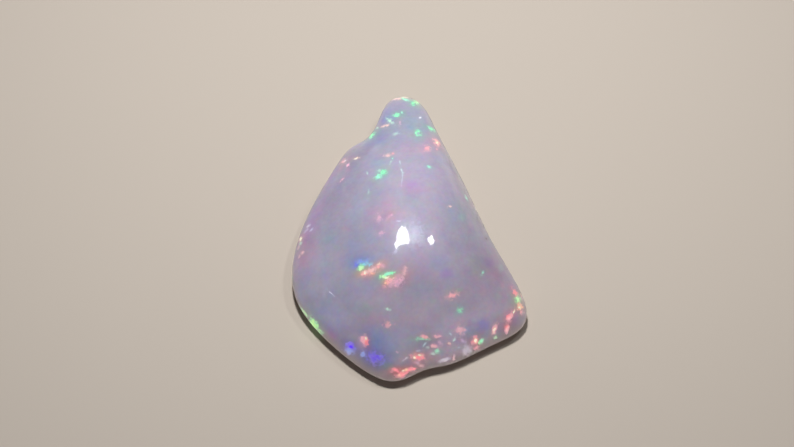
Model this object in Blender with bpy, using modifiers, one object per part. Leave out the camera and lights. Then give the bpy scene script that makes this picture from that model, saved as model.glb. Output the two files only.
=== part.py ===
# A freeform piece of precious opal, rubbed smooth all over: a rounded triangle with
# a blunt tip, a low dome that falls away to a ledge, a wavy rim and a flat underside.
# Lengths are in millimetres until a point goes into the mesh.
import math

import bmesh
import bpy
from mathutils import Vector

MM = 0.001
NAME = "opal_stone"

# Driving dimensions.
SUMMIT = Vector((0.1, -2.8, 7.6))
DOME_REACH = Vector((9.6, 12.4))
ROUND_CORE = 1.15
SMOOTHING_LEVELS = 2

# The middle of the finished outline, which stands on the frame's origin.
OUTLINE_MIDDLE = Vector((0.0, 0.27, 0.0))

# The rim, where the stone is widest, anticlockwise from the right: x, y and height.
RIM = [
    (8.1, -0.4, 2.0),     # long right edge, going up
    (6.8, 2.8, 2.4),
    (5.4, 6.2, 2.5),
    (3.9, 9.6, 2.5),
    (2.6, 12.6, 2.4),
    (1.7, 15.1, 2.3),     # tip
    (-0.2, 16.6, 2.2),
    (-2.4, 15.8, 2.3),
    (-3.2, 12.8, 2.5),    # neck
    (-4.3, 10.5, 2.6),
    (-6.2, 10.2, 2.4),    # left shoulder
    (-8.0, 6.9, 2.2),
    (-10.4, 2.4, 1.9),
    (-11.9, -2.4, 1.6),
    (-11.8, -6.5, 1.2),
    (-9.9, -9.5, 0.85),   # lower left
    (-7.0, -12.5, 0.75),
    (-4.2, -14.7, 0.7),   # big lobe at the foot
    (-2.1, -15.8, 0.7),
    (-0.2, -15.4, 0.75),
    (1.5, -14.2, 0.8),    # wave
    (3.8, -14.0, 0.7),
    (6.0, -12.9, 0.7),
    (8.6, -11.5, 0.75),
    (11.0, -10.4, 0.8),   # lower right corner
    (12.1, -8.6, 0.9),
    (11.1, -5.8, 1.2),
    (9.7, -3.3, 1.6),
]

# From the summit out to the rim: share of the reach, share of the height above the rim.
CROWN = [(0.0, 1.0), (0.22, 0.97), (0.44, 0.87), (0.65, 0.68), (0.83, 0.43), (0.95, 0.18), (1.0, 0.0)]

# From under the rim in to the middle of the base: share of the reach, share of the rim's height.
# The stone is rubbed flat as far as the second ring, which is a plain edge.
UNDERSIDE = [(0.96, 0.46), (0.81, 0.0), (0.62, 0.0), (0.0, 0.0)]
BASE_EDGE_RING = 1

# Swells and hollows of the crown: x, y, radius and rise.
SWELLS = {
    "spine": (1.2, 4.6, 4.2, 0.5),
    "neck": (-0.5, 11.4, 4.5, -0.6),
    "shoulder": (-5.6, 7.4, 2.6, 0.25),
    "nose": (0.4, -5.0, 2.6, 0.25),
    "left_hollow": (-6.4, -5.2, 3.2, -0.45),
    "under_nose": (1.2, -9.0, 3.0, -0.8),
    "right_hollow": (6.6, -5.6, 3.0, -0.45),
    "left_ledge": (-5.0, -11.0, 3.0, 0.35),
    "foot_ledge": (2.0, -12.6, 2.8, 0.45),
    "corner": (8.8, -9.2, 2.6, 0.4),
}


def clear_scene():
    for item in list(bpy.data.objects):
        bpy.data.objects.remove(item, do_unlink=True)


def swell_at(x, y):
    rise = 0.0
    for centre_x, centre_y, radius, amount in SWELLS.values():
        away = math.hypot(x - centre_x, y - centre_y) / radius
        rise += amount * math.exp(-away * away)
    return rise


def plan_point(reach, spoke):
    """A point of a ring seen from above: an oval near the summit, the rim's own outline at the rim."""
    rim_x, rim_y, _ = RIM[spoke]
    turn = math.tau * (spoke + 0.5) / len(RIM)
    outline_share = min(1.0, ROUND_CORE * reach * reach)
    oval_share = 1.0 - outline_share
    step_x = oval_share * DOME_REACH.x * math.cos(turn) + outline_share * (rim_x - SUMMIT.x)
    step_y = oval_share * DOME_REACH.y * math.sin(turn) + outline_share * (rim_y - SUMMIT.y)
    return SUMMIT.x + reach * step_x, SUMMIT.y + reach * step_y


def crown_point(ring, spoke):
    reach, lift = CROWN[ring]
    rim_height = RIM[spoke][2]
    x, y = plan_point(reach, spoke)
    swell_share = min(1.0, 2.0 * lift)
    z = rim_height + lift * (SUMMIT.z - rim_height) + swell_share * swell_at(x, y)
    return Vector((x, y, z))


def underside_point(ring, spoke):
    reach, height_share = UNDERSIDE[ring]
    x, y = plan_point(reach, spoke)
    return Vector((x, y, height_share * RIM[spoke][2]))


def stone_mesh():
    """A globe whose meridians run from the summit over the rim to the base, as a coarse cage."""
    spokes = len(RIM)
    bands = len(CROWN) + len(UNDERSIDE) - 1
    cage = bmesh.new()
    bmesh.ops.create_uvsphere(cage, u_segments=spokes, v_segments=bands, radius=1.0)
    base_edge = set()
    for vert in cage.verts:
        ring = round(math.acos(max(-1.0, min(1.0, vert.co.z))) / math.pi * bands)
        spoke = round(math.atan2(vert.co.y, vert.co.x) / math.tau * spokes) % spokes
        if ring < len(CROWN):
            point = crown_point(ring, spoke)
        else:
            point = underside_point(ring - len(CROWN), spoke)
        if ring == len(CROWN) + BASE_EDGE_RING:
            base_edge.add(vert)
        vert.co = (point - OUTLINE_MIDDLE) * MM
    crease = cage.edges.layers.float.new("crease_edge")
    for edge in cage.edges:
        edge[crease] = float(base_edge.issuperset(edge.verts))
    bmesh.ops.recalc_face_normals(cage, faces=cage.faces)
    mesh = bpy.data.meshes.new(NAME)
    cage.to_mesh(mesh)
    cage.free()
    mesh.shade_smooth()
    return mesh


def opal_material():
    material = bpy.data.materials.new("milky_opal")
    material.use_nodes = True
    shader = material.node_tree.nodes["Principled BSDF"]
    shader.inputs["Base Color"].default_value = (0.40, 0.35, 0.44, 1.0)
    shader.inputs["Metallic"].default_value = 0.0
    shader.inputs["Roughness"].default_value = 0.08
    shader.inputs["IOR"].default_value = 1.45
    return material


def build_stone(collection):
    stone = bpy.data.objects.new(NAME, stone_mesh())
    collection.objects.link(stone)
    stone.data.materials.append(opal_material())
    smoothing = stone.modifiers.new("smoothing", "SUBSURF")
    smoothing.levels = SMOOTHING_LEVELS
    smoothing.render_levels = SMOOTHING_LEVELS
    return stone


def main():
    clear_scene()
    collection = bpy.data.collections.new("opal_specimen")
    bpy.context.scene.collection.children.link(collection)
    build_stone(collection)


main()
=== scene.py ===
import math
import bpy
import numpy as np
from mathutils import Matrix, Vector
from mathutils.bvhtree import BVHTree


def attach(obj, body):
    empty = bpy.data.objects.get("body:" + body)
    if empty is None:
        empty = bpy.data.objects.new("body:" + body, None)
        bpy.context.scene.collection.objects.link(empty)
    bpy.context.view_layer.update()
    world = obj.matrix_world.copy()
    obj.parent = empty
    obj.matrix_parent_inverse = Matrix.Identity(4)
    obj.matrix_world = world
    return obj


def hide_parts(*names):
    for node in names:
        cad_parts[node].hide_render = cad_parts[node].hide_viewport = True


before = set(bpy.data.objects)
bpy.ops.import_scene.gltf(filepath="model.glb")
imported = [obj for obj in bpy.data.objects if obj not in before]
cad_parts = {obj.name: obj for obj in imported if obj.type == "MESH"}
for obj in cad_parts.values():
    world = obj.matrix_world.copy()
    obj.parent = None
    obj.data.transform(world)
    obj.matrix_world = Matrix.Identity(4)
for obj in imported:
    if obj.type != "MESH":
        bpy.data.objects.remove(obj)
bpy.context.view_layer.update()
mm = 0.001
print("frame loaded")

# where the front view stands; flashes are placed across and up in this view
frontView = {
    "elevation": 62.0,
    "lens": 85.0,
    "distance": 187.47,
    "target": (-1.2, 0.93, 2.0),
    "sensorWidth": 36.0,
    "clipStart": 0.001,
}


def viewFrom(azimuth, elevation):
    turn = math.radians(azimuth)
    tilt = math.radians(elevation)
    target = Vector(frontView["target"])
    right = Vector((math.cos(turn), math.sin(turn), 0.0))
    back = Vector((math.sin(turn) * math.cos(tilt), -math.cos(turn) * math.cos(tilt), math.sin(tilt)))
    return {"target": target, "right": right, "up": back.cross(right), "back": back,
            "eye": target + back * frontView["distance"]}


views = {
    "front": viewFrom(0.0, frontView["elevation"]),
    "right": viewFrom(80.0, 5.0),
    "behind": viewFrom(180.0, 5.0),
    "left": viewFrom(270.0, 5.0),
    "below": viewFrom(0.0, -90.0),
}


def deselectAll():
    if bpy.context.mode != "OBJECT":
        bpy.ops.object.mode_set(mode="OBJECT")
    bpy.ops.object.select_all(action="DESELECT")


def makeActive(item):
    deselectAll()
    item.select_set(True)
    bpy.context.view_layer.objects.active = item


def applyModifier(item, name):
    makeActive(item)
    bpy.ops.object.modifier_apply(modifier=name)


# the stone's shape, in millimetres and degrees
stoneShape = {
    "mergeWithin": 0.001,
    "quadFold": 40.0,        # largest fold and skew of two triangles that become one face
    "quadSkew": 50.0,
    "roundings": 2,          # subdivision steps
    "baseWithin": 0.005,     # an edge this near the ground belongs to the base
    "crownStart": 0.1,       # the skin is worked on from here up, fully after the rise
    "crownRise": 1.2,
    "summitEase": 0.7,       # how widely the facets are evened out round the summit
    "summitReach": 6.5,
    "summitFloor": 1.5,      # nothing lower is evened out
    "summitStep": 0.2,       # spacing and margin of the heights that are averaged
    "summitMargin": 2.0,
    "polishWave": 0.05,      # height of the slow waves left by hand rubbing
    "polishWaveSize": 3.4,
    "skinRipple": 0.0018,    # finer unevenness of the skin
    "skinRippleSize": 0.9,
}


def displaceBy(item, name):
    # slow noise moves the skin in and out, as far and as wide as the two values of that name
    texture = bpy.data.textures.new(name, "CLOUDS")
    texture.noise_scale = stoneShape[name + "Size"] * mm
    texture.noise_basis = "IMPROVED_PERLIN"
    texture.noise_depth = 1
    wave = item.modifiers.new(name, "DISPLACE")
    wave.texture = texture
    wave.texture_coords = "LOCAL"
    wave.strength = stoneShape[name] * mm
    wave.vertex_group = "crown"
    applyModifier(item, name)


def placesOf(mesh):
    places = np.empty(len(mesh.vertices) * 3)
    mesh.vertices.foreach_get("co", places)
    return places.reshape(-1, 3) / mm


def easeSummit(item):
    # the lines of the cage meet at the summit; the dome there is evened out by averaging heights
    finder = BVHTree.FromObject(item, bpy.context.evaluated_depsgraph_get())
    places = placesOf(item.data)
    summit = places[places[:, 2].argmax()].copy()
    reach = stoneShape["summitReach"]
    widest = reach + stoneShape["summitMargin"]
    steps = np.arange(-widest, widest, stoneShape["summitStep"])
    overhead = 2.0 * summit[2]
    heights = np.zeros((len(steps), len(steps)))
    for row, aside in enumerate(steps):
        for column, ahead in enumerate(steps):
            above = Vector((summit[0] + aside, summit[1] + ahead, overhead))
            hit = finder.ray_cast(above * mm, (0.0, 0.0, -1.0))[0]
            heights[row, column] = hit.z / mm if hit else 0.0
    away = places[:, :2] - summit[:2]
    shares = []
    for axis in (0, 1):
        share = np.exp(-0.5 * ((away[:, axis, None] - steps) / stoneShape["summitEase"]) ** 2)
        shares.append(share / np.maximum(share.sum(axis=1, keepdims=True), 1e-9))
    evened = ((shares[0] @ heights) * shares[1]).sum(axis=1)
    # in full up to half the reach, and less and less from there
    near = np.clip(2.0 - 2.0 * np.hypot(away[:, 0], away[:, 1]) / reach, 0.0, 1.0)
    near *= places[:, 2] > stoneShape["summitFloor"]
    places[:, 2] += near * (evened - places[:, 2])
    item.data.vertices.foreach_set("co", (places * mm).ravel())
    item.data.update()


def makeStone():
    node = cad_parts["opal_stone"]
    stone = bpy.data.objects.new("opalStone", node.data.copy())
    bpy.context.scene.collection.objects.link(stone)
    stone.data.materials.clear()
    makeActive(stone)
    bpy.ops.object.mode_set(mode="EDIT")
    bpy.ops.mesh.select_all(action="SELECT")
    bpy.ops.mesh.remove_doubles(threshold=stoneShape["mergeWithin"] * mm)
    bpy.ops.mesh.customdata_custom_splitnormals_clear()
    bpy.ops.mesh.tris_convert_to_quads(face_threshold=math.radians(stoneShape["quadFold"]),
                                       shape_threshold=math.radians(stoneShape["quadSkew"]))
    bpy.ops.mesh.mark_sharp(clear=True)
    bpy.ops.object.mode_set(mode="OBJECT")

    # the base stays flat with a plain edge
    crease = stone.data.attributes.new("crease_edge", "FLOAT", "EDGE")
    baseTop = stoneShape["baseWithin"] * mm
    for edge in stone.data.edges:
        onBase = [stone.data.vertices[v].co.z < baseTop for v in edge.vertices]
        crease.data[edge.index].value = 1.0 if all(onBase) else 0.0
    rounding = stone.modifiers.new("rounding", "SUBSURF")
    rounding.levels = stoneShape["roundings"]
    rounding.render_levels = stoneShape["roundings"]
    applyModifier(stone, "rounding")

    # everything above the base edge may be worked on
    crown = stone.vertex_groups.new(name="crown")
    for vert in stone.data.vertices:
        rise = (vert.co.z / mm - stoneShape["crownStart"]) / stoneShape["crownRise"]
        crown.add([vert.index], max(0.0, min(1.0, rise)), "REPLACE")
    easeSummit(stone)
    displaceBy(stone, "polishWave")
    displaceBy(stone, "skinRipple")
    makeActive(stone)
    bpy.ops.object.shade_smooth()
    stone.vertex_groups.clear()
    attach(stone, "root")
    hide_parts("opal_stone")
    return stone


stone = makeStone()
print("stone shaped:", len(stone.data.polygons), "faces")


# the opal: its milk first, then the flashes in it
bodyColours = {
    "milk": (0.46, 0.42, 0.54),
    "blueMilk": (0.39, 0.41, 0.53),
    "pinkMilk": (0.50, 0.42, 0.53),
    # painted light: the lighter, warmer rim low in front
    "paintedRimLight": (0.72, 0.60, 0.58),
}

# rim colour and core colour of each kind of flash
flashColours = {
    "mint": ((0.30, 0.66, 0.52), (0.34, 0.92, 0.62)),
    "green": ((0.24, 0.66, 0.42), (0.28, 0.94, 0.50)),
    "paleGreen": ((0.40, 0.55, 0.50), (0.50, 0.76, 0.60)),
    "yellowGreen": ((0.32, 0.66, 0.36), (0.56, 0.96, 0.48)),
    "cream": ((0.74, 0.54, 0.42), (0.98, 0.92, 0.70)),
    "coral": ((0.70, 0.35, 0.40), (0.98, 0.44, 0.44)),
    "peach": ((0.64, 0.46, 0.45), (0.84, 0.61, 0.54)),
    "orange": ((0.76, 0.38, 0.30), (0.98, 0.62, 0.42)),
    "red": ((0.80, 0.24, 0.29), (0.98, 0.26, 0.29)),
    "pink": ((0.60, 0.38, 0.50), (0.84, 0.48, 0.60)),
    "rose": ((0.50, 0.33, 0.44), (0.56, 0.33, 0.44)),
    "magenta": ((0.44, 0.30, 0.50), (0.52, 0.32, 0.54)),
    "violet": ((0.38, 0.32, 0.58), (0.36, 0.28, 0.62)),
    "blueViolet": ((0.26, 0.20, 0.72), (0.14, 0.04, 0.98)),
    "blue": ((0.28, 0.34, 0.64), (0.22, 0.34, 0.74)),
    "cyan": ((0.28, 0.48, 0.66), (0.26, 0.62, 0.74)),
    "salmon": ((0.60, 0.43, 0.46), (0.80, 0.54, 0.52)),
    "frost": ((0.43, 0.51, 0.57), (0.54, 0.66, 0.68)),
    # veil also paints the pale reflection round the main highlight
    "veil": ((0.48, 0.49, 0.62), (0.57, 0.60, 0.75)),
    "white": ((0.68, 0.70, 0.80), (0.96, 0.96, 1.00)),
    "chalk": ((0.48, 0.44, 0.51), (0.55, 0.50, 0.57)),
    "body": ((0.38, 0.38, 0.48), (0.36, 0.38, 0.48)),
    "leaf": ((0.24, 0.54, 0.28), (0.42, 0.80, 0.28)),
    "ink": ((0.16, 0.08, 0.90), (0.08, 0.01, 0.80)),
    "dark": ((0.24, 0.20, 0.26), (0.16, 0.13, 0.16)),
}

# broad soft tints in the milk, many of them painted light and shade: the lifts, rims and skirt lighten
# the lower front, foot and left side, and the dims and shades darken the right side, summit, neck and
# shoulder; share of red, green and blue, across, up, length, width and turn
milkTintsAndPaintedShade = {
    # painted shade of the dome: the tongue, under-tongue and skirt lighter, the shoulder and neck
    # darker, as the slopes turn to and from the light
    "tongue": ((1.08, 1.07, 1.08), 1.3, 3.3, 16.0, 21.0, 0),
    "leftShoulder": ((0.84, 0.82, 0.86), -6.4, 3.0, 16.0, 7.0, 62),
    "neckShade": ((0.87, 0.87, 0.90), -3.6, 7.3, 6.0, 4.0, 50),
    "tipBlue": ((0.86, 0.97, 0.98), 0.5, 10.2, 9.0, 8.0, 0),
    "upperBlue": ((0.94, 1.00, 1.00), -2.8, 3.5, 7.0, 6.0, 0),
    "middlePink": ((1.12, 0.90, 0.94), -1.2, 0.8, 6.0, 5.0, 0),
    "leftPink": ((1.05, 0.84, 0.88), -9.4, -2.6, 5.0, 9.0, 0),
    "middleBlue": ((0.93, 0.96, 1.00), -3.8, -1.6, 8.0, 6.0, 0),
    "mauveBand": ((0.97, 0.96, 0.97), 0.8, -6.4, 24.0, 6.0, 0),
    "rightPink": ((1.02, 0.82, 0.83), 9.3, -5.0, 8.0, 9.0, -60),
    "underTongue": ((1.16, 1.03, 1.07), 2.4, -4.1, 8.0, 5.0, 0),
    "skirt": ((1.12, 1.05, 1.02), 4.2, -9.0, 24.0, 9.0, 0),
    "rightWarm": ((1.06, 1.01, 0.94), 11.4, -8.2, 5.0, 7.0, -60),
    "lowLeftBlue": ((0.98, 1.03, 1.12), -7.2, -9.8, 7.0, 5.0, 0),
    "lowTeal": ((0.92, 1.03, 1.12), -1.3, -11.7, 8.0, 6.0, 0),
    # painted light: the lower front, foot and corner are lightened where the steep front slope gets
    # little lamp light
    "lowRight": ((1.42, 1.36, 1.40), 7.6, -10.6, 15.0, 6.0, 22),
    "footRim": ((1.36, 1.26, 1.22), 3.6, -13.7, 15.0, 4.5, 12),
    "cornerRim": ((1.24, 1.20, 1.16), 9.6, -12.0, 8.0, 4.5, 28),
    "footMilk": ((1.14, 1.14, 1.10), 0.3, -12.4, 9.0, 5.0, 0),
    "leftTeal": ((0.86, 1.04, 1.02), -6.7, -1.6, 2.4, 2.0, 0),
    "heroBlue": ((0.90, 0.98, 1.05), -4.4, -2.4, 2.6, 2.4, 0),
    "leftPaleBlue": ((0.97, 1.00, 1.03), -9.2, -5.4, 2.6, 4.0, 0),
    "leftStreakBlue": ((1.0, 1.08, 1.12), -9.7, -7.4, 1.2, 2.6, 20),
    "centreBlue": ((0.90, 0.98, 1.04), 4.3, -3.9, 3.0, 2.2, 0),
    "rightGreenGrey": ((0.92, 1.06, 0.97), 7.8, -4.2, 2.6, 3.6, 0),
    "centreViolet": ((0.94, 0.86, 1.12), 4.9, -5.0, 2.0, 1.6, 0),
    "rightViolet": ((0.94, 0.88, 1.10), 9.1, -3.9, 2.0, 1.6, 0),
    "lowViolet": ((0.92, 0.86, 1.14), 8.5, -10.2, 2.4, 1.8, 0),
    "lowTealRight": ((0.84, 1.02, 1.14), 7.3, -10.9, 2.6, 1.8, 0),
    "lowPurple": ((1.00, 0.86, 1.02), -6.9, -10.4, 2.2, 2.8, 0),
    "lowMagenta": ((1.06, 0.78, 1.02), -6.5, -11.2, 2.0, 1.8, 0),
    "footBlue": ((0.88, 0.94, 1.12), -2.2, -11.6, 5.0, 3.4, -25),
    "cornerMauve": ((1.04, 0.86, 1.02), 11.8, -9.9, 2.0, 2.4, 0),
    "footOliveTint": ((0.98, 1.05, 0.90), -1.5, -14.4, 5.0, 1.6, -10),
    "neckViolet": ((0.90, 0.86, 1.14), -1.2, 10.6, 3.0, 4.0, 30),
    "neckVioletLow": ((0.95, 0.92, 1.09), -1.9, 8.3, 4.0, 2.2, 25),
    "upperTeal": ((0.88, 1.03, 1.06), -1.8, 6.0, 3.0, 2.6, 0),
    "upperPinkBlush": ((1.10, 0.92, 0.98), 1.6, 7.6, 4.5, 2.4, 0),
    "crestTeal": ((0.88, 1.04, 1.02), 1.2, 10.2, 2.6, 2.6, 0),
    "leftEdgeLilac": ((1.06, 0.88, 1.10), -8.4, 0.4, 2.0, 9.0, -25),
    "shoulderLilac": ((1.04, 0.90, 1.10), -6.9, 4.4, 1.8, 6.0, -38),
    "magentaHaze": ((1.08, 0.90, 1.06), 1.5, 3.6, 3.2, 2.8, 0),
    "rightHazeGreen": ((0.94, 1.05, 1.0), 6.2, 1.0, 2.2, 4.0, 25),
    "skirtGreen": ((0.94, 1.06, 0.98), -3.6, -8.6, 5.0, 1.8, -4),
    "rightUpper": ((1.04, 0.99, 1.02), 4.3, 6.2, 4.0, 9.0, 25),
    "lowLeftGrey": ((1.06, 1.10, 0.98), -7.2, -10.2, 4.0, 4.0, 0),
    "leftEdgeDim": ((0.95, 0.98, 1.00), -9.0, -6.8, 3.0, 6.0, 0),
    "lowCentre": ((1.08, 1.03, 1.03), 3.0, -10.2, 9.0, 4.0, 0),
    "lowerMiddle": ((1.01, 1.04, 1.03), 2.6, -7.2, 9.0, 4.0, 0),
    # mostly painted light and shade from here on: lifts lighten the foot, lower middle and left side,
    # and dims darken the summit, right side and corner, evening out how the lamps fall
    "lowMiddleLift": ((1.35, 1.30, 1.30), 4.4, -13.5, 8.5, 4.0, 12),
    "lowCentreLift": ((1.06, 1.02, 1.04), 1.3, -10.3, 4.0, 3.2, 0),
    "footWarm": ((1.44, 1.10, 1.05), -0.6, -15.1, 3.4, 2.2, 0),
    "betweenBlues": ((1.42, 1.32, 1.20), -4.0, -12.2, 3.6, 2.6, -40),
    "footCool": ((0.90, 0.95, 0.98), -2.8, -14.7, 2.6, 2.4, 0),
    "lowRightLift": ((1.12, 1.15, 1.12), 9.4, -11.8, 3.4, 3.0, 20),
    "leftUpperDim": ((0.94, 0.92, 0.92), -5.7, -1.2, 7.0, 6.0, 45),
    "upperDim": ((0.92, 0.96, 0.93), -2.5, 3.3, 4.0, 4.0, 0),
    "summitDim": ((0.90, 1.00, 0.93), 1.3, 2.4, 3.0, 3.0, 0),
    "leftLift": ((1.09, 1.08, 1.10), -8.6, -4.6, 10.0, 22.0, -12),
    "innerLeftLift": ((1.10, 1.06, 1.10), -3.4, -7.0, 5.0, 4.0, -20),
    "shoulderLift": ((1.08, 1.09, 1.10), -5.8, 4.3, 5.0, 5.0, 0),
    "lowLeftLift": ((1.12, 1.10, 1.18), -5.6, -10.0, 7.0, 5.0, -35),
    "rightDim": ((0.88, 0.89, 0.89), 8.4, -3.6, 10.0, 28.0, 25),
    "cornerDim": ((0.92, 0.95, 0.96), 11.4, -8.6, 6.0, 5.0, 0),
    "lowRightDim": ((0.90, 0.95, 0.91), 7.2, -10.4, 4.0, 3.4, 0),
    "skirtPink": ((1.08, 0.94, 1.0), -2.4, -9.6, 4.0, 1.8, 0),
}

# soft washes of flash colour, without grains: colour, across, up, length, width, turn and strength
washes = {
    "heroHaze": ("blue", -3.75, -3.75, 2.4, 1.1, 4, 0.6),
    "heroGround": ("salmon", -2.6, -4.55, 2.4, 1.0, 17, 0.9),
    "secondGround": ("salmon", 0.1, -5.55, 2.3, 1.3, 25, 0.65),
    "secondGroundArm": ("pink", 0.85, -4.75, 0.8, 1.3, 0, 0.4),
    "secondRose": ("rose", 0.5, -6.0, 1.1, 0.9, 0, 0.5),
    "blueHalo": ("blueViolet", -4.7, -12.3, 1.3, 1.0, 0, 0.35),
    "bluePatchHigh": ("blue", -2.3, -12.0, 1.7, 1.3, 0, 0.15),
    "bluePatch": ("blueViolet", -2.2, -13.5, 1.8, 1.4, -20, 0.6),
    "tipViolet": ("violet", -1.4, 11.15, 0.9, 0.8, 0, 0.15),
    "neckViolet": ("violet", -2.1, 8.35, 1.3, 1.0, 30, 0.12),
    "neckPaleStreak": ("white", -2.2, 7.45, 0.95, 0.42, 42, 0.22),
    "magentaBlush": ("magenta", 1.4, 3.55, 1.35, 1.3, 0, 0.3),
    "rightTeal": ("mint", 6.5, 0.6, 0.6, 0.4, 0, 0.28),
    "leftPinkFaint": ("pink", -5.0, -0.55, 0.85, 0.5, 0, 0.4),
    "rightCoralFaint": ("coral", 10.6, -6.15, 0.6, 0.4, 60, 0.3),
    "rightCoralFaintLow": ("coral", 10.65, -7.75, 0.3, 0.3, 0, 0.35),
    "rightGreenFaint": ("paleGreen", 10.4, -4.45, 0.4, 0.5, 0, 0.35),
    "middlePinkFaint": ("pink", -0.9, -0.95, 0.5, 0.3, 0, 0.18),
    "middlePinkFar": ("salmon", -0.9, 0.35, 0.5, 0.3, 60, 0.35),
    "lowCoralGreen": ("paleGreen", -0.9, -10.75, 0.6, 0.4, 0, 0.25),
    "footOlive": ("yellowGreen", -1.0, -14.2, 1.0, 0.5, 0, 0.3),
    "footDusky": ("rose", -0.6, -15.35, 0.85, 0.5, 0, 0.5),
    # painted reflection: the pale bluish veil beside the main highlight
    "veilMiddle": ("veil", 1.8, -0.9, 1.1, 1.9, 0, 0.32),
    "veilHigh": ("veil", 0.1, -0.5, 0.5, 1.4, -15, 0.3),
    "veilTop": ("veil", 1.2, 0.1, 1.2, 0.5, 10, 0.3),
    "tipBlueVeil": ("blue", 1.35, 9.55, 0.65, 0.42, 0, 0.35),
    "leftLilac": ("white", -7.25, -6.95, 0.5, 0.3, 80, 0.3),
    "bandPale": ("paleGreen", 3.6, -7.75, 0.7, 0.5, 0, 0.4),
    "lowMintLeft": ("paleGreen", -2.7, -8.55, 0.5, 0.3, 0, 0.35),
    "bandGreen": ("green", 6.2, -6.65, 0.6, 0.3, 20, 0.3),
    "shoulderRose": ("pink", -5.0, 5.35, 0.5, 0.3, 60, 0.45),
    "shoulderRoseLow": ("pink", -5.35, 4.75, 0.5, 0.3, 60, 0.35),
    "shoulderPeach": ("salmon", -5.6, 5.6, 0.5, 0.3, 50, 0.4),
    "footGreenFaint": ("paleGreen", -4.25, -11.55, 0.5, 0.5, 0, 0.4),
    "secondArm": ("pink", 0.8, -4.6, 0.9, 0.42, 75, 0.6),
}

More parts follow.
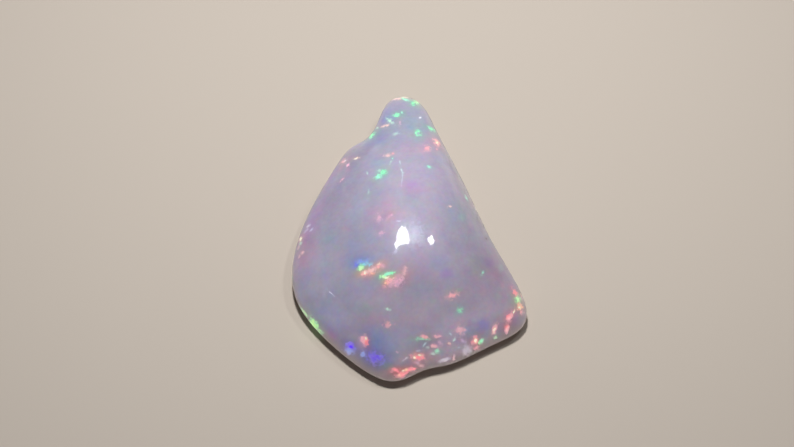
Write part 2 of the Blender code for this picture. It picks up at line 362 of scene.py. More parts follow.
# flashes, written the same way
flashes = {
    # tip
    "tipRimPeach": ("peach", -0.05, 12.48, 1.3, 0.3, 8, 0.85),
    "tipRimCoral": ("cream", 0.7, 12.62, 1.0, 0.26, -2, 0.75),
    "tipRimMint": ("mint", 0.85, 12.4, 0.9, 0.28, -20, 0.85),
    "tipMint": ("green", 1.6, 12.0, 0.5, 0.55, 0, 0.7),
    "tipYellow": ("yellowGreen", 2.0, 12.15, 0.7, 0.6, -40, 0.95),
    "crestGreen": ("green", 0.0, 10.85, 0.75, 0.42, 12, 0.95),
    "crestGreenLobe": ("mint", 0.5, 11.1, 0.32, 0.3, 0, 0.75),
    "crestPale": ("paleGreen", -1.0, 10.5, 0.45, 0.22, -30, 0.8),
    "crestPaleLong": ("paleGreen", -0.65, 10.2, 0.9, 0.4, -38, 1.0),
    "crestPeach": ("peach", -1.2, 9.8, 0.95, 0.3, 14, 0.85),
    "neckPale": ("paleGreen", -1.95, 9.55, 0.32, 0.22, 0, 0.7),
    "tipPinkNick": ("pink", 0.3, 10.05, 0.6, 0.25, 85, 0.6),
    "tipWhiteDot": ("white", 2.3, 10.6, 0.26, 0.26, 0, 0.6),
    "mintRing": ("green", 2.1, 9.05, 0.66, 0.85, 0, 0.8),
    "mintRingHole": ("body", 2.12, 8.98, 0.24, 0.34, 0, 0.8),
    "paleMintBelow": ("paleGreen", -0.1, 9.0, 0.6, 0.32, 10, 0.6),
    "rightGreenBar": ("green", 3.45, 9.45, 0.85, 0.4, -28, 0.9),
    "neckGreen": ("green", -2.55, 8.8, 0.8, 0.55, 42, 1.0),
    "rightCoral": ("coral", 4.0, 8.1, 0.95, 0.62, -50, 0.95),
    "rightCoralSpot": ("cream", 4.0, 8.1, 0.42, 0.3, -40, 0.9),
    "rightCoralDot": ("coral", 4.0, 7.45, 0.2, 0.26, 0, 0.55),
    "pinkBlush": ("coral", 3.05, 7.55, 0.75, 0.85, 0, 0.65),
    # upper left and middle
    "shoulderCoral": ("coral", -5.4, 6.2, 0.8, 0.36, 36, 0.75),
    "shoulderPink": ("pink", -4.9, 5.85, 0.45, 0.4, 0, 0.9),
    "shoulderDot": ("white", -5.2, 6.3, 0.4, 0.2, 35, 0.5),
    "shoulderCream": ("cream", -4.1, 6.5, 0.75, 0.24, 14, 0.9),
    "upperPink": ("salmon", -0.95, 6.8, 0.75, 0.4, 10, 0.8),
    "upperCoral": ("coral", -0.4, 7.0, 0.42, 0.28, 20, 0.6),
    "upperMintDot": ("mint", -0.45, 6.5, 0.18, 0.18, 0, 0.9),
    "upperMintTrail": ("paleGreen", -0.6, 6.15, 0.5, 0.2, 65, 0.4),
    "greenHeroTop": ("paleGreen", -1.75, 5.3, 0.4, 0.45, 0, 0.55),
    "greenHeroRight": ("green", -1.35, 5.12, 0.7, 0.5, 38, 0.95),
    "greenHeroLow": ("mint", -1.85, 4.7, 0.72, 0.46, 30, 1.0),
    "upperRightMint": ("mint", 3.2, 5.65, 0.48, 0.28, -32, 0.75),
    "leftStreak": ("pink", -5.5, 4.35, 0.5, 0.18, 45, 0.75),
    "leftMintNick": ("paleGreen", -2.95, 5.0, 0.36, 0.18, -70, 0.55),
    "leftMintNickLow": ("paleGreen", -2.85, 3.15, 0.42, 0.15, 80, 0.45),
    "rightEdgeMint": ("mint", 6.95, 2.55, 0.62, 0.2, -65, 0.75),
    "rightPeach": ("peach", 5.3, 1.7, 0.5, 0.22, 0, 0.7),
    "darkSpeck": ("dark", 8.95, -1.5, 0.28, 0.26, 0, 0.9),
    # middle
    "middlePink": ("pink", -1.8, 0.6, 0.6, 0.8, 0, 0.55),
    "middlePinkArm": ("pink", -0.75, 0.7, 0.85, 0.32, 48, 0.4),
    "middlePinkLow": ("pink", -1.6, -1.0, 0.62, 0.4, 15, 0.5),
    "leftNick": ("white", -8.9, -0.25, 0.5, 0.26, 40, 0.45),
    "leftNickLow": ("veil", -8.55, -0.6, 0.6, 0.2, 45, 0.7),
    "leftEdgeCream": ("cream", -9.65, -1.55, 0.6, 0.32, 60, 0.9),
    "leftEdgeGreen": ("paleGreen", -9.65, -2.0, 0.4, 0.26, 60, 0.6),
    "leftEdgeCoral": ("salmon", -9.45, -2.9, 0.5, 0.3, 40, 0.8),
    "leftNickHigh": ("veil", -9.1, -0.75, 0.6, 0.22, 45, 0.45),
    "leftEdgePeach": ("peach", -9.85, -2.4, 0.5, 0.2, 65, 0.35),
    "leftEdgeLow": ("salmon", -9.75, -3.3, 0.5, 0.18, 70, 0.5),
    # painted reflection: pale bluish speckles and streaks round the main highlight beside the summit
    "veilAbove": ("veil", 0.1, 0.25, 0.55, 0.14, 3, 0.7),
    "veilTail": ("veil", -0.1, -2.65, 0.8, 0.4, 60, 0.5),
    "veilGrain": ("veil", 1.8, -1.0, 1.6, 2.8, 0, 0.3),
    "veilStreak": ("veil", 1.35, -1.2, 1.1, 0.22, -75, 0.3),
    "veilStreakFar": ("veil", 2.4, -0.6, 1.0, 0.2, -78, 0.35),
    # hairline crack
    "crackTop": ("frost", 0.3, 6.1, 0.5, 0.14, -79, 0.6),
    "crackHigh": ("frost", 0.45, 5.35, 0.6, 0.16, -70, 0.75),
    "crackLow": ("frost", 0.55, 4.8, 0.7, 0.14, 84, 0.6),
    "crackEnd": ("veil", 0.48, 4.15, 0.9, 0.12, 83, 0.5),
    "crackDot": ("frost", 0.6, 5.05, 0.24, 0.2, 0, 0.8),
    # first hero, running through the whole spectrum
    "heroViolet": ("blueViolet", -4.05, -4.1, 0.75, 0.5, 40, 0.45),
    "heroBlue": ("blue", -3.45, -3.85, 1.2, 0.5, 8, 0.8),
    "heroCyan": ("cyan", -3.25, -4.1, 1.3, 0.45, 4, 0.9),
    "heroMint": ("cyan", -3.45, -4.15, 0.9, 0.45, 25, 0.8),
    "heroGreen": ("yellowGreen", -3.55, -4.4, 0.8, 0.6, 35, 1.0),
    "heroOrange": ("coral", -3.25, -4.95, 0.85, 0.55, 8, 1.0),
    "heroCream": ("cream", -3.2, -4.9, 0.5, 0.34, 10, 0.9),
    "heroCoral": ("salmon", -2.45, -4.65, 1.35, 0.6, 25, 0.9),
    "heroCoralArm": ("coral", -1.85, -4.3, 0.75, 0.45, 35, 0.7),
    "heroCreamSpot": ("cream", -1.85, -4.05, 0.4, 0.2, 35, 0.5),
    "heroTail": ("pink", -1.45, -4.25, 0.55, 0.55, 0, 0.45),
    "heroDrop": ("orange", -2.45, -5.0, 0.4, 0.26, 0, 0.7),
    # second hero
    "secondGreen": ("yellowGreen", -1.3, -5.3, 0.8, 0.62, -20, 1.0),
    "secondMint": ("mint", -0.85, -5.05, 0.9, 0.34, 8, 0.9),
    "secondGreenArm": ("green", -0.45, -4.95, 0.5, 0.34, 40, 0.8),
    "secondRed": ("coral", -0.85, -5.8, 1.1, 0.6, 50, 0.85),
    "secondOrange": ("orange", -1.15, -5.95, 0.4, 0.3, 50, 0.9),
    "secondYellow": ("cream", -0.95, -5.4, 0.6, 0.24, 30, 0.85),
    "secondCream": ("cream", -0.35, -5.5, 0.4, 0.24, 30, 0.75),
    "secondPink": ("pink", -0.1, -5.8, 1.6, 1.0, 25, 0.68),
    "secondPinkArm": ("salmon", 0.8, -4.75, 1.2, 0.42, 75, 0.6),
    # right and lower middle
    "rightMintStreak": ("mint", 8.55, -4.95, 0.5, 0.25, 55, 0.6),
    "bandCoral": ("coral", 5.6, -7.2, 1.15, 0.65, 18, 0.75),
    "leftScratch": ("white", -6.55, -7.0, 0.8, 0.1, -40, 0.75),
    "bandGreenSpot": ("green", 6.3, -8.65, 0.6, 0.58, 0, 0.6),
    "bandGreenCore": ("mint", 6.2, -8.85, 0.28, 0.24, 0, 0.8),
    "lowMint": ("paleGreen", -0.9, -8.55, 0.55, 0.3, -15, 0.7),
    "lowCoral": ("coral", -0.9, -10.1, 0.95, 0.7, 0, 0.55),
    # lower left
    "edgeGreen": ("leaf", -9.3, -8.85, 1.5, 0.28, -50, 0.65),
    "edgeYellowHero": ("leaf", -8.2, -10.2, 1.8, 0.75, -54, 1.0),
    "edgeYellowTail": ("leaf", -7.8, -10.9, 0.6, 0.36, -54, 0.8),
    "footCoral": ("coral", -3.25, -11.7, 0.8, 0.95, 0, 0.9),
    "footCoralHot": ("red", -3.05, -11.85, 0.4, 0.7, 0, 0.8),
    "footCoralSpot": ("cream", -3.1, -11.5, 0.24, 0.3, 0, 0.7),
    "blueDot": ("blueViolet", -4.68, -12.3, 0.85, 0.7, 0, 0.95),
    "blueDotCore": ("ink", -4.62, -12.35, 0.4, 0.4, 0, 0.9),
    "blueDotCyan": ("blue", -4.8, -12.8, 1.0, 0.6, 0, 0.7),
    "footCyan": ("blue", -3.45, -13.1, 0.5, 0.7, 0, 0.7),
    "bluePatchHeart": ("blueViolet", -2.15, -13.45, 1.7, 1.2, -20, 0.6),
    "footPinkDot": ("pink", 0.0, -12.85, 0.32, 0.3, 0, 0.7),
    "footPaleBlue": ("white", 0.9, -13.5, 0.7, 0.2, 35, 0.35),
    # foot
    "footRedLeft": ("red", -0.25, -14.65, 0.6, 0.45, 0, 0.9),
    "footRedDot": ("red", 0.1, -14.8, 0.32, 0.3, 0, 0.8),
    "footGold": ("cream", 0.6, -14.75, 0.5, 0.42, 0, 0.7),
    "footRedHero": ("red", 1.4, -14.6, 1.2, 0.5, 8, 1.0),
    "footOrange": ("red", 0.45, -15.1, 1.1, 0.7, 0, 0.8),
    "footOrangeSpot": ("orange", 0.2, -15.2, 0.4, 0.36, 0, 0.4),
    "footOrangeFar": ("orange", 0.9, -14.6, 0.5, 0.3, 20, 0.8),
    "lobeRedHero": ("red", 2.1, -13.35, 1.25, 0.62, -4, 1.0),
    "lobeSpot": ("cream", 1.75, -13.4, 0.34, 0.44, 0, 0.9),
    "lobeSpotTop": ("cream", 2.25, -13.15, 0.5, 0.26, -10, 0.85),
    "lobePink": ("pink", 2.0, -13.95, 0.62, 0.4, -20, 0.35),
    "lobeCoral": ("coral", 2.4, -14.25, 0.5, 0.35, 0, 0.55),
    # lower middle and right
    "waveGreenLine": ("green", 2.6, -11.55, 1.4, 0.34, 0, 0.6),
    "waveCream": ("coral", 2.85, -11.35, 0.8, 0.34, -15, 0.9),
    "waveCoral": ("coral", 4.1, -11.3, 0.8, 0.4, 0, 0.7),
    "waveSoftCoral": ("coral", 6.4, -10.7, 0.95, 0.85, 0, 0.6),
    "wavePink": ("coral", 3.7, -12.25, 0.6, 0.44, 0, 0.85),
    "wavePale": ("paleGreen", 3.1, -12.35, 0.42, 0.3, 20, 0.5),
    "waveFrost": ("frost", 2.75, -12.1, 0.5, 0.16, 55, 0.6),
    "waveFrostLow": ("frost", 2.2, -12.7, 0.6, 0.2, 15, 0.4),
    "waveFrostFar": ("frost", 5.3, -11.0, 0.5, 0.14, -50, 0.5),
    "waveFrostHigh": ("frost", 6.2, -12.4, 0.4, 0.2, 20, 0.4),
    "waveRose": ("pink", 4.3, -11.9, 0.6, 0.3, -60, 0.4),
    "waveOrangeDot": ("orange", 5.25, -12.0, 0.28, 0.26, 0, 0.8),
    "waveMintStreak": ("paleGreen", 5.75, -11.6, 0.6, 0.22, 60, 0.6),
    "waveMagenta": ("magenta", 6.6, -11.75, 0.65, 0.4, -45, 0.6),
    "waveGreen": ("green", 4.05, -12.75, 0.5, 0.4, 0, 0.75),
    "waveGreenPale": ("paleGreen", 3.6, -13.05, 0.4, 0.35, 0, 0.6),
    "rimCoral": ("coral", 5.7, -13.45, 0.5, 0.28, 85, 0.55),
    "chalkRight": ("chalk", 7.0, -12.65, 1.0, 0.85, 50, 0.55),
    "chalkLeft": ("chalk", 4.7, -13.65, 1.25, 0.4, 10, 0.7),
    "hotRed": ("red", 7.85, -11.7, 0.75, 0.75, 0, 1.0),
    "hotCore": ("cream", 7.85, -11.7, 0.36, 0.44, 0, 1.0),
    "hotYellow": ("yellowGreen", 8.2, -11.95, 0.22, 0.28, 0, 0.9),
    "hotGreen": ("green", 8.45, -11.75, 0.42, 0.52, 0, 0.85),
    "hotBelow": ("red", 7.95, -12.45, 0.6, 0.5, 0, 0.6),
    "cornerCoral": ("coral", 9.8, -10.5, 1.05, 0.45, 76, 0.9),
    "cornerCore": ("cream", 9.75, -10.6, 0.5, 0.26, 70, 0.7),
    "cornerYellow": ("yellowGreen", 9.85, -11.4, 0.3, 0.28, 50, 0.7),
    "cornerRedHigh": ("coral", 11.25, -9.35, 0.95, 0.55, 66, 1.0),
    "cornerRedLow": ("coral", 11.0, -10.5, 1.0, 0.45, 78, 0.9),
    "cornerRedSpot": ("red", 11.15, -9.2, 0.5, 0.4, 60, 0.6),
    "cornerRedSpotLow": ("red", 10.95, -10.3, 0.4, 0.3, 60, 0.7),
    "cornerCream": ("cream", 11.75, -8.75, 0.5, 0.2, 65, 0.8),
    "edgeCoral": ("red", 11.85, -6.95, 1.0, 0.5, -60, 0.8),
    "edgeGreenYellow": ("yellowGreen", 12.1, -7.6, 0.7, 0.75, 0, 0.9),
    "edgeOrange": ("orange", 12.3, -8.35, 0.8, 0.75, 0, 0.95),
    "edgeSpot": ("cream", 12.2, -8.4, 0.24, 0.24, 0, 0.9),
    "edgeCoralLow": ("coral", 12.5, -8.85, 0.45, 0.5, 0, 0.7),
    "edgePink": ("pink", 12.5, -7.35, 0.3, 0.6, -20, 0.35),
}

# more of them low round the sides and on the base: view and colour, then as above
sideFlashes = {
    "rightBlue": ("right", "blue", -3.0, -1.2, 1.1, 0.4, 8, 0.5),
    "rightMint": ("right", "mint", 1.4, -1.3, 0.6, 0.25, -10, 0.8),
    "rightRed": ("right", "coral", 4.2, -1.4, 0.7, 0.3, 5, 0.8),
    "rightGreen": ("right", "green", 6.6, -1.3, 0.6, 0.25, 10, 0.8),
    "rightGold": ("right", "orange", -6.0, -1.4, 0.5, 0.25, 0, 0.7),
    "rightPink": ("right", "pink", 9.5, -1.4, 0.7, 0.3, 5, 0.6),
    "behindGreen": ("behind", "green", -3.6, -1.3, 0.9, 0.3, 5, 0.9),
    "behindYellow": ("behind", "yellowGreen", -3.1, -1.4, 0.4, 0.25, 0, 0.8),
    "behindCoral": ("behind", "coral", 3.4, -1.3, 1.0, 0.35, -5, 0.9),
    "behindCream": ("behind", "cream", 3.5, -1.3, 0.4, 0.2, 0, 0.8),
    "behindBlue": ("behind", "blueViolet", 0.5, -1.5, 0.9, 0.35, 0, 0.7),
    "behindCyan": ("behind", "cyan", 1.6, -1.4, 0.5, 0.25, 10, 0.6),
    "behindPink": ("behind", "pink", 6.2, -1.3, 0.7, 0.35, 0, 0.6),
    "behindMint": ("behind", "mint", -6.4, -1.3, 0.5, 0.25, -10, 0.7),
    "leftRed": ("left", "red", -2.2, -1.3, 0.8, 0.3, -5, 0.8),
    "leftGold": ("left", "cream", -2.0, -1.3, 0.3, 0.2, 0, 0.8),
    "leftGreen": ("left", "green", 1.2, -1.4, 0.7, 0.3, 5, 0.8),
    "leftViolet": ("left", "violet", 4.0, -1.3, 1.1, 0.4, 0, 0.5),
    "leftMint": ("left", "mint", 6.2, -1.4, 0.5, 0.25, -8, 0.8),
    "leftCoral": ("left", "coral", -6.5, -1.3, 0.6, 0.3, 8, 0.7),
    "belowBlue": ("below", "blue", -2.5, -3.0, 2.4, 1.4, 30, 0.5),
    "belowGreen": ("below", "green", 3.2, 2.5, 1.1, 0.6, -20, 0.8),
    "belowMint": ("below", "mint", 2.3, 3.1, 0.6, 0.4, 0, 0.7),
    "belowCoral": ("below", "coral", 0.4, 6.4, 1.0, 0.6, 40, 0.8),
    "belowRed": ("below", "red", -3.8, 1.0, 0.6, 0.5, 0, 0.8),
    "belowPink": ("below", "pink", 4.6, -4.6, 1.2, 0.8, 10, 0.6),
    "belowGold": ("below", "orange", -0.6, -7.2, 0.7, 0.4, -30, 0.7),
}

# how the flashes lie in the stone
flashDetail = {
    "spread": 0.76,          # half a flash's drawn size, as a share of its listed size
    "tintSpread": 0.5,       # the same for a tint
    "washReach": 1.5,        # a wash is this much larger than a flash
    "flashReach": 1.3,       # how far from its middle a flash is drawn, in half lengths
    "flashDepth": 1.5,       # least depth of a flash, in millimetres
    "outOfReach": 9.0,       # written where there is no flash, in half lengths
    "inwardStep": 0.995,     # a place off the outline comes in by such steps, at most this far
    "inwardMost": 0.75,
    "haloReach": 2.4,        # the faint colour round a flash
    "haloShare": 0.30,
    "thinTop": 4.6,          # painted glow of the front edge below this height, standing in for light coming through it
    "thinFade": 3.2,
    "thinTilt": 0.1,         # and where the skin leans forward at least this much
    "thinTiltFade": 0.4,
    "raggedNoise": (0.32, 3.0, 0.6),     # size, detail and roughness of a flash's wandering outline
    "raggedness": 0.34,      # how far it wanders, as a share of the flash's size
    "cellSize": 0.24,        # the grains that a flash is made of
    "cellContrast": 0.6,
    "edgeFade": (0.15, 1.0),     # from full to nothing, in half lengths
    "heartFade": (0.1, 0.75),
}

# the opal's milk and skin; a noise is its size, detail and roughness,
# and a range or a rim is from and to, then the share at either end
opalFinish = {
    "blueMilkNoise": (5.0, 2.0, 0.5),
    "blueMilkRange": (0.42, 0.62, 0.0, 0.5),
    "pinkMilkNoise": (3.1, 3.0, 0.5),
    "pinkMilkRange": (0.48, 0.68, 0.0, 0.4),
    "mosaicNoise": (1.1, 2.0, 0.6),
    "mosaic": 0.16,              # strength of the faint play of colour in the milk
    "fineMosaicNoise": (0.36, 1.0, 0.5),
    "fineMosaic": 0.10,
    # painted rim light: where it lies, by height and by how far ahead
    "paintedRimLightHeight": (0.4, 2.4, 0.8, 0.0),
    "paintedRimLightAhead": (-8.0, 1.0, 1.0, 0.2),
    "glow": 0.4,                 # painted glow (emission) of the flashes
    "paintedRimGlow": 0.5,              # more painted glow low in front, standing in for light coming through the thin edge
    "paintedMilkGlow": 0.10,             # painted glow (emission) of the milk itself there
    "skinNoise": (0.22, 2.0, 0.6),
    "skinHeight": 0.0012,        # the finest unevenness left by polishing
    "roughness": 0.3,
    "refraction": 1.45,
    "underGloss": 0.2,           # gloss of the milk under the polish
    "polish": 1.0,
    "polishRoughness": 0.018,
    "milkiness": 0.8,            # share of the light that spreads inside
    "milkReach": 3.0,            # how far, and the share of it for red, green and blue
    "milkColourReach": (1.0, 0.8, 0.9),
}


def onStone(finder, view, across, up):
    # the point of the skin seen at that place of the view, in millimetres;
    # a place just off the outline is brought in until it meets the stone
    inward = 1.0
    while inward > flashDetail["inwardMost"]:
        through = view["target"] + view["right"] * across * inward + view["up"] * up * inward
        hit = finder.ray_cast(view["eye"] * mm, (through - view["eye"]).normalized())[0]
        if hit is not None:
            return hit / mm
        inward *= flashDetail["inwardStep"]
    raise ValueError("a flash lies off the stone")


def placeAxes(finder, view, across, up, length, width, turn):
    # middle and axes of an oval patch, its edge one axis length away
    angle = math.radians(turn)
    along = view["right"] * math.cos(angle) + view["up"] * math.sin(angle)
    over = view["up"] * math.cos(angle) - view["right"] * math.sin(angle)
    deep = max(flashDetail["flashDepth"], length, width)
    share = flashDetail["spread"]
    axes = (along / (share * length), over / (share * width), view["back"] / deep)
    return np.array(onStone(finder, view, across, up)), np.array(axes)


def everyFlash():
    for colour, *place, strength in flashes.values():
        yield views["front"], colour, place, strength
    for viewName, colour, *place, strength in sideFlashes.values():
        yield views[viewName], colour, place, strength


def cornersOf(mesh):
    owners = np.empty(len(mesh.loops), dtype=int)
    mesh.loops.foreach_get("vertex_index", owners)
    return placesOf(mesh)[owners].reshape(-1, 4, 3)


def writeAttribute(mesh, name, kind, domain, values):
    made = mesh.attributes.new(name, kind, domain)
    field = "vector" if kind == "FLOAT_VECTOR" else "color"
    made.data.foreach_set(field, np.ascontiguousarray(values, dtype=np.float32).ravel())


def layFlashes(mesh, finder):
    # each flash writes its own place, scale and colours on the faces it covers;
    # where flashes overlap, the later one goes a layer up
    corners = cornersOf(mesh)
    used = np.zeros(len(corners), dtype=int)
    layers = []
    for view, kind, place, strength in everyFlash():
        centre, axes = placeAxes(finder, view, *place)
        local = (corners - centre) @ axes.T
        nearest = np.sqrt((local ** 2).sum(axis=2)).min(axis=1)
        touched = nearest < flashDetail["flashReach"]
        if not touched.any():
            continue
        level = used[touched].max()
        if level == len(layers):
            layers.append((np.full(corners.shape, flashDetail["outOfReach"]),
                           np.zeros(corners.shape[:2] + (4,)), np.zeros(corners.shape[:2] + (4,))))
        at, rim, core = layers[level]
        at[touched] = local[touched]
        rim[touched] = flashColours[kind][0] + (strength,)
        core[touched] = flashColours[kind][1] + (1.0,)
        used[touched] = level + 1
    for level, (at, rim, core) in enumerate(layers):
        writeAttribute(mesh, "flashAt%d" % level, "FLOAT_VECTOR", "CORNER", at)
        writeAttribute(mesh, "flashRim%d" % level, "FLOAT_COLOR", "CORNER", rim)
        writeAttribute(mesh, "flashCore%d" % level, "FLOAT_COLOR", "CORNER", core)
    return len(layers)


def softPatch(places, finder, view, place, widening):
    # full in the middle of an oval patch, and nothing from its edge on
    centre, axes = placeAxes(finder, view, *place)
    local = (places - centre) @ (axes / widening).T
    return np.clip(1.0 - (local ** 2).sum(axis=1), 0.0, 1.0) ** 2


def paintedEdgeGlow(places, normals):
    # painted light: where emission stands in for light coming through the thin front edge
    low = np.clip((flashDetail["thinTop"] - places[:, 2]) / flashDetail["thinFade"], 0.0, 1.0)
    lean = -normals[:, 1] - flashDetail["thinTilt"]
    return low * np.clip(lean / flashDetail["thinTiltFade"], 0.0, 1.0)


def tintMilkAndPaintLight(mesh, finder):
    # soft tints and painted light and shade need no more than one colour at each point of the mesh; the
    # alpha carries the painted edge glow
    places = placesOf(mesh)
    normals = np.empty(len(places) * 3)
    mesh.vertices.foreach_get("normal", normals)
    tint = np.ones((len(places), 4))
    tint[:, 3] = paintedEdgeGlow(places, normals.reshape(-1, 3))
    milk = np.array(bodyColours["milk"])
    tintWidening = flashDetail["tintSpread"] / flashDetail["spread"]
    for share, *place in milkTintsAndPaintedShade.values():
        near = softPatch(places, finder, views["front"], place, tintWidening)
        tint[:, :3] *= 1.0 + near[:, None] * (np.array(share) - 1.0)
    for kind, *place, strength in washes.values():
        near = softPatch(places, finder, views["front"], place, flashDetail["washReach"]) * strength
        tint[:, :3] += near[:, None] * (np.array(flashColours[kind][0]) / milk - tint[:, :3])
    for view, kind, place, strength in everyFlash():
        near = softPatch(places, finder, view, place, flashDetail["haloReach"])
        near *= strength * flashDetail["haloShare"]
        tint[:, :3] *= 1.0 + near[:, None] * (np.array(flashColours[kind][0]) / milk - 1.0)
    writeAttribute(mesh, "milkTintAndPaintedLight", "FLOAT_COLOR", "POINT", tint)


def addNode(tree, kind, x, y, **settings):
    node = tree.nodes.new("ShaderNode" + kind)
    node.location = (x, y)
    for name, value in settings.items():
        setattr(node, name, value)
    return node


def addMath(tree, operation, x, y, first, second):
    node = addNode(tree, "Math", x, y, operation=operation)
    for slot, value in enumerate((first, second)):
        if isinstance(value, float):
            node.inputs[slot].default_value = value
        else:
            tree.links.new(value, node.inputs[slot])
    return node.outputs[0]


def addMix(tree, x, y, factor, first, second, blend="MIX"):
    node = addNode(tree, "Mix", x, y, data_type="RGBA", blend_type=blend)
    for slot, value in ((0, factor), (6, first), (7, second)):
        if isinstance(value, float):
            node.inputs[slot].default_value = value
        elif isinstance(value, tuple):
            node.inputs[slot].default_value = value + (1.0,)
        else:
            tree.links.new(value, node.inputs[slot])
    return node.outputs[2]


def addRange(tree, x, y, value, low, high, toLow, toHigh, change="SMOOTHSTEP"):
    node = addNode(tree, "MapRange", x, y, interpolation_type=change)
    tree.links.new(value, node.inputs["Value"])
    for name, number in (("From Min", low), ("From Max", high), ("To Min", toLow), ("To Max", toHigh)):
        node.inputs[name].default_value = number
    return node.outputs["Result"]


def addNoise(tree, x, y, place, size, detail, roughness):
    node = addNode(tree, "TexNoise", x, y)
    tree.links.new(place, node.inputs["Vector"])
    node.inputs["Scale"].default_value = 1.0 / size
    node.inputs["Detail"].default_value = detail
    node.inputs["Roughness"].default_value = roughness
    return node


layerSpacing = 900  # room for one layer in the node editor


def addFlashLayer(tree, level, colour, glow, shift, edgeCells, heartCells):
    # the patches of one layer, laid over what lies below
    x = 200 + level * layerSpacing
    at = addNode(tree, "Attribute", x, 300, attribute_name="flashAt%d" % level)
    rim = addNode(tree, "Attribute", x, 100, attribute_name="flashRim%d" % level)
    core = addNode(tree, "Attribute", x, -100, attribute_name="flashCore%d" % level)
    moved = addNode(tree, "VectorMath", x + 180, 300, operation="ADD")
    tree.links.new(at.outputs["Vector"], moved.inputs[0])
    tree.links.new(shift, moved.inputs[1])
    away = addNode(tree, "VectorMath", x + 340, 300, operation="LENGTH")
    tree.links.new(moved.outputs[0], away.inputs[0])
    edge = addMath(tree, "ADD", x + 480, 300, away.outputs["Value"], edgeCells)
    inner = addMath(tree, "ADD", x + 480, 0, away.outputs["Value"], heartCells)
    patch = addRange(tree, x + 560, 150, edge, *flashDetail["edgeFade"], 1.0, 0.0)
    heart = addRange(tree, x + 560, -50, inner, *flashDetail["heartFade"], 1.0, 0.0)
    cover = addMath(tree, "MULTIPLY", x + 640, 150, patch, rim.outputs["Alpha"])
    shade = addMix(tree, x + 640, -50, heart, rim.outputs["Color"], core.outputs["Color"])
    result = addMix(tree, x + 780, 100, cover, colour, shade)
    return result, addMath(tree, "MAXIMUM", x + 780, 300, cover, glow)


def addMilk(tree, place, tint):
    # slow clouds of bluish and pinkish milk, with a faint mosaic of colour
    cloud = addNoise(tree, -1300, 400, place, *opalFinish["blueMilkNoise"])
    blush = addNoise(tree, -1300, 100, place, *opalFinish["pinkMilkNoise"])
    mosaic = addNoise(tree, -1300, -200, place, *opalFinish["mosaicNoise"])
    grain = addNoise(tree, -1300, -350, place, *opalFinish["fineMosaicNoise"])
    bluish = addRange(tree, -1100, 400, cloud.outputs[0], *opalFinish["blueMilkRange"])
    pinkish = addRange(tree, -1100, 100, blush.outputs[0], *opalFinish["pinkMilkRange"])
    body = addMix(tree, -900, 400, bluish, bodyColours["milk"], bodyColours["blueMilk"])
    body = addMix(tree, -700, 300, pinkish, body, bodyColours["pinkMilk"])
    body = addMix(tree, -500, 200, opalFinish["mosaic"], body, mosaic.outputs["Color"], "OVERLAY")
    body = addMix(tree, -450, 100, opalFinish["fineMosaic"], body, grain.outputs["Color"], "OVERLAY")
    # the tint carries painted light and shade as well as the milk's colour
    body = addMix(tree, -380, 300, 1.0, body, tint, "MULTIPLY")

    # painted light: the thin rim near the ground is made lighter, warmer and greyer, most of all at the
    # foot, standing in for warm light bounced up from the floor and let through the edge
    height = addNode(tree, "SeparateXYZ", -900, -300)
    tree.links.new(place, height.inputs[0])
    low = addRange(tree, -700, -300, height.outputs["Z"], *opalFinish["paintedRimLightHeight"])
    ahead = addRange(tree, -700, -500, height.outputs["Y"], *opalFinish["paintedRimLightAhead"])
    rimLightShare = addMath(tree, "MULTIPLY", -500, -300, low, ahead)
    return addMix(tree, -300, 100, rimLightShare, body, bodyColours["paintedRimLight"])


def addFlashes(tree, place, body, layerCount):
    # the same wandering outlines and grains for every flash
    wander = addNoise(tree, -1300, -600, place, *flashDetail["raggedNoise"])
    centred = addNode(tree, "VectorMath", -1100, -600, operation="SUBTRACT")
    tree.links.new(wander.outputs["Color"], centred.inputs[0])
    centred.inputs[1].default_value = (0.5, 0.5, 0.5)
    shift = addNode(tree, "VectorMath", -900, -600, operation="SCALE")
    tree.links.new(centred.outputs[0], shift.inputs[0])
    shift.inputs["Scale"].default_value = 2.0 * flashDetail["raggedness"]
    cells = addNode(tree, "TexVoronoi", -1100, -900, feature="F1")
    tree.links.new(place, cells.inputs["Vector"])
    cells.inputs["Scale"].default_value = 1.0 / flashDetail["cellSize"]
    chance = addNode(tree, "SeparateColor", -900, -900)
    tree.links.new(cells.outputs["Color"], chance.inputs[0])
    half = 0.5 * flashDetail["cellContrast"]
    edgeCells = addRange(tree, -700, -900, chance.outputs[0], 0.0, 1.0, -half, half, "LINEAR")
    heartCells = addRange(tree, -700, -1150, chance.outputs[1], 0.0, 1.0, -half, half, "LINEAR")
    colour = body
    glow = 0.0
    for level in range(layerCount):
        colour, glow = addFlashLayer(tree, level, colour, glow, shift.outputs[0], edgeCells, heartCells)
    return colour, glow


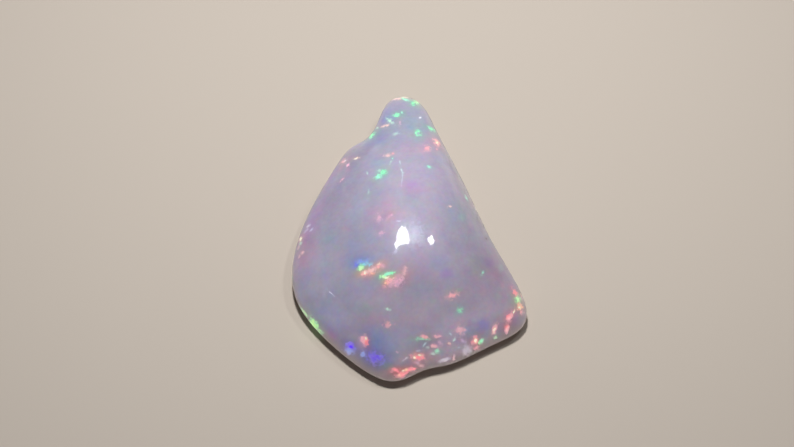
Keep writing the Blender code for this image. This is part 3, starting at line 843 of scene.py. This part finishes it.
def makeOpal(layerCount):
    material = bpy.data.materials.new("preciousOpal")
    material.use_nodes = True
    tree = material.node_tree
    x = 200 + layerSpacing * layerCount
    shader = tree.nodes["Principled BSDF"]
    shader.location = (x + 200, 300)
    tree.nodes["Material Output"].location = (x + 500, 300)
    coordinates = addNode(tree, "TexCoord", -1800, 0)
    scaled = addNode(tree, "VectorMath", -1600, 0, operation="SCALE")
    tree.links.new(coordinates.outputs["Object"], scaled.inputs[0])
    scaled.inputs["Scale"].default_value = 1.0 / mm
    place = scaled.outputs[0]

    tint = addNode(tree, "Attribute", -500, 450, attribute_name="milkTintAndPaintedLight")
    body = addMilk(tree, place, tint.outputs["Color"])
    colour, glow = addFlashes(tree, place, body, layerCount)
    tree.links.new(colour, shader.inputs["Base Color"])

    # painted light: the flashes glow a little by emission, and so does the thin front edge, standing in
    # for light coming through it
    through = tint.outputs["Alpha"]
    glowMost = opalFinish["glow"] + opalFinish["paintedRimGlow"]
    share = addRange(tree, x - 400, -100, through, 0.0, 1.0, opalFinish["glow"], glowMost, "LINEAR")
    milk = addMath(tree, "MULTIPLY", x - 200, -300, through, opalFinish["paintedMilkGlow"])
    lit = addMath(tree, "MULTIPLY", x - 200, -100, glow, share)
    tree.links.new(colour, shader.inputs["Emission Color"])
    tree.links.new(addMath(tree, "ADD", x, -100, lit, milk), shader.inputs["Emission Strength"])

    # polish over milk
    skin = addNoise(tree, 0, -600, place, *opalFinish["skinNoise"])
    rub = addNode(tree, "Bump", 200, -600)
    tree.links.new(skin.outputs[0], rub.inputs["Height"])
    rub.inputs["Strength"].default_value = 1.0
    rub.inputs["Distance"].default_value = opalFinish["skinHeight"] * mm
    tree.links.new(rub.outputs[0], shader.inputs["Normal"])
    tree.links.new(rub.outputs[0], shader.inputs["Coat Normal"])
    shader.inputs["Roughness"].default_value = opalFinish["roughness"]
    shader.inputs["IOR"].default_value = opalFinish["refraction"]
    shader.inputs["Specular IOR Level"].default_value = opalFinish["underGloss"]
    shader.inputs["Coat Weight"].default_value = opalFinish["polish"]
    shader.inputs["Coat Roughness"].default_value = opalFinish["polishRoughness"]
    shader.inputs["Coat IOR"].default_value = opalFinish["refraction"]
    shader.inputs["Subsurface Weight"].default_value = opalFinish["milkiness"]
    shader.inputs["Subsurface Radius"].default_value = opalFinish["milkColourReach"]
    shader.inputs["Subsurface Scale"].default_value = opalFinish["milkReach"] * mm
    return material


stoneFinder = BVHTree.FromObject(stone, bpy.context.evaluated_depsgraph_get())
tintMilkAndPaintLight(stone.data, stoneFinder)
layerCount = layFlashes(stone.data, stoneFinder)
stone.data.materials.append(makeOpal(layerCount))
print("opal finished:", len(flashes), "flashes in", layerCount, "layers")


# floor, light and camera
studio = {
    "floorSize": 700.0,
    "floorColour": (0.60, 0.53, 0.46),
    "floorRoughness": 0.9,
    "floorGloss": 0.1,
    "lightsFace": (0.0, -3.0, 5.0),
    "lightDistance": 150.0,
    "lightGap": 0.5,         # each panel is this much nearer, as panels at one depth hide one another
    "worldColour": (0.93, 0.95, 1.0),
    "worldStrength": 0.06,
}


def makeFloor():
    deselectAll()
    bpy.ops.mesh.primitive_plane_add(size=studio["floorSize"] * mm, location=(0, 0, 0))
    floor = bpy.context.object
    floor.name = "floor"
    finish = bpy.data.materials.new("plainFloor")
    finish.use_nodes = True
    shader = finish.node_tree.nodes["Principled BSDF"]
    shader.inputs["Base Color"].default_value = studio["floorColour"] + (1.0,)
    shader.inputs["Roughness"].default_value = studio["floorRoughness"]
    shader.inputs["Specular IOR Level"].default_value = studio["floorGloss"]
    floor.data.materials.append(finish)


lightsFrom = {
    "above": (-0.06, 0.38, 0.92),
    "veil": (-0.05, 0.38, 0.92),
    "key": (-0.23, 0.38, 0.89),
    "spark": (0.39, 0.40, 0.85),
}

# panels facing the stone: where from, size, brightness, sideways offset, and what they do:
# a fill only lights the milk, a shine only shows in the polish
lightPanels = {
    "mainFill": ("above", (18.0, 20.0), 180.0, (0.0, 3.0), "fill"),
    "sparkFill": ("spark", (10.0, 10.0), 94.0, (-8.0, 2.0), "fill"),
    "keyBody": ("key", (16.0, 36.0), 30.0, (-5.0, 7.0), "shine"),
    "keyRight": ("key", (10.0, 35.0), 30.0, (-16.0, 12.5), "shine"),
    "keyLeft": ("key", (10.0, 26.0), 30.0, (8.0, 6.0), "shine"),
    "keyTail": ("key", (12.0, 14.0), 30.0, (19.0, 7.0), "shine"),
    "keyCorner": ("key", (4.0, 10.0), 30.0, (-23.0, 8.0), "shine"),
    "keyFoot": ("key", (8.0, 8.0), 30.0, (-10.0, 29.0), "shine"),
    "spark": ("spark", (12.5, 15.0), 50.0, (-13.0, 4.5), "shine"),
    "veilNear": ("veil", (22.0, 40.0), 2.8, (-14.0, 6.0), "shine"),
    "veilFar": ("veil", (24.0, 36.0), 1.4, (-37.0, 6.0), "shine"),
}


def makeLight(name, order, source, size, brightness, offset, role):
    panel = bpy.data.lights.new(name, "AREA")
    panel.shape = "RECTANGLE"
    panel.size = size[0] * mm
    panel.size_y = size[1] * mm
    panel.energy = brightness * math.pi * panel.size * panel.size_y
    lamp = bpy.data.objects.new(name, panel)
    bpy.context.scene.collection.objects.link(lamp)
    away = Vector(lightsFrom[source]).normalized()
    facing = away.to_track_quat("Z", "Y")
    aside = facing @ Vector((offset[0], offset[1], 0.0))
    distance = studio["lightDistance"] - studio["lightGap"] * order
    lamp.location = (Vector(studio["lightsFace"]) + away * distance + aside) * mm
    lamp.rotation_euler = facing.to_euler()
    lamp.visible_glossy = role == "shine"
    lamp.visible_diffuse = role == "fill"


def makeWorld():
    world = bpy.data.worlds.new("softRoom")
    world.use_nodes = True
    background = world.node_tree.nodes["Background"]
    background.inputs["Color"].default_value = studio["worldColour"] + (1.0,)
    background.inputs["Strength"].default_value = studio["worldStrength"]
    bpy.context.scene.world = world


def makeCamera():
    view = bpy.data.cameras.new("frontView")
    view.lens = frontView["lens"]
    view.sensor_width = frontView["sensorWidth"]
    view.clip_start = frontView["clipStart"]
    camera = bpy.data.objects.new("frontView", view)
    bpy.context.scene.collection.objects.link(camera)
    camera.location = views["front"]["eye"] * mm
    camera.rotation_euler = (math.radians(90.0 - frontView["elevation"]), 0.0, 0.0)
    bpy.context.scene.camera = camera


makeFloor()
makeWorld()
for order, (panelName, panelSettings) in enumerate(lightPanels.items()):
    makeLight(panelName, order, *panelSettings)
makeCamera()
bpy.context.scene.view_settings.view_transform = "Standard"
print("studio ready")
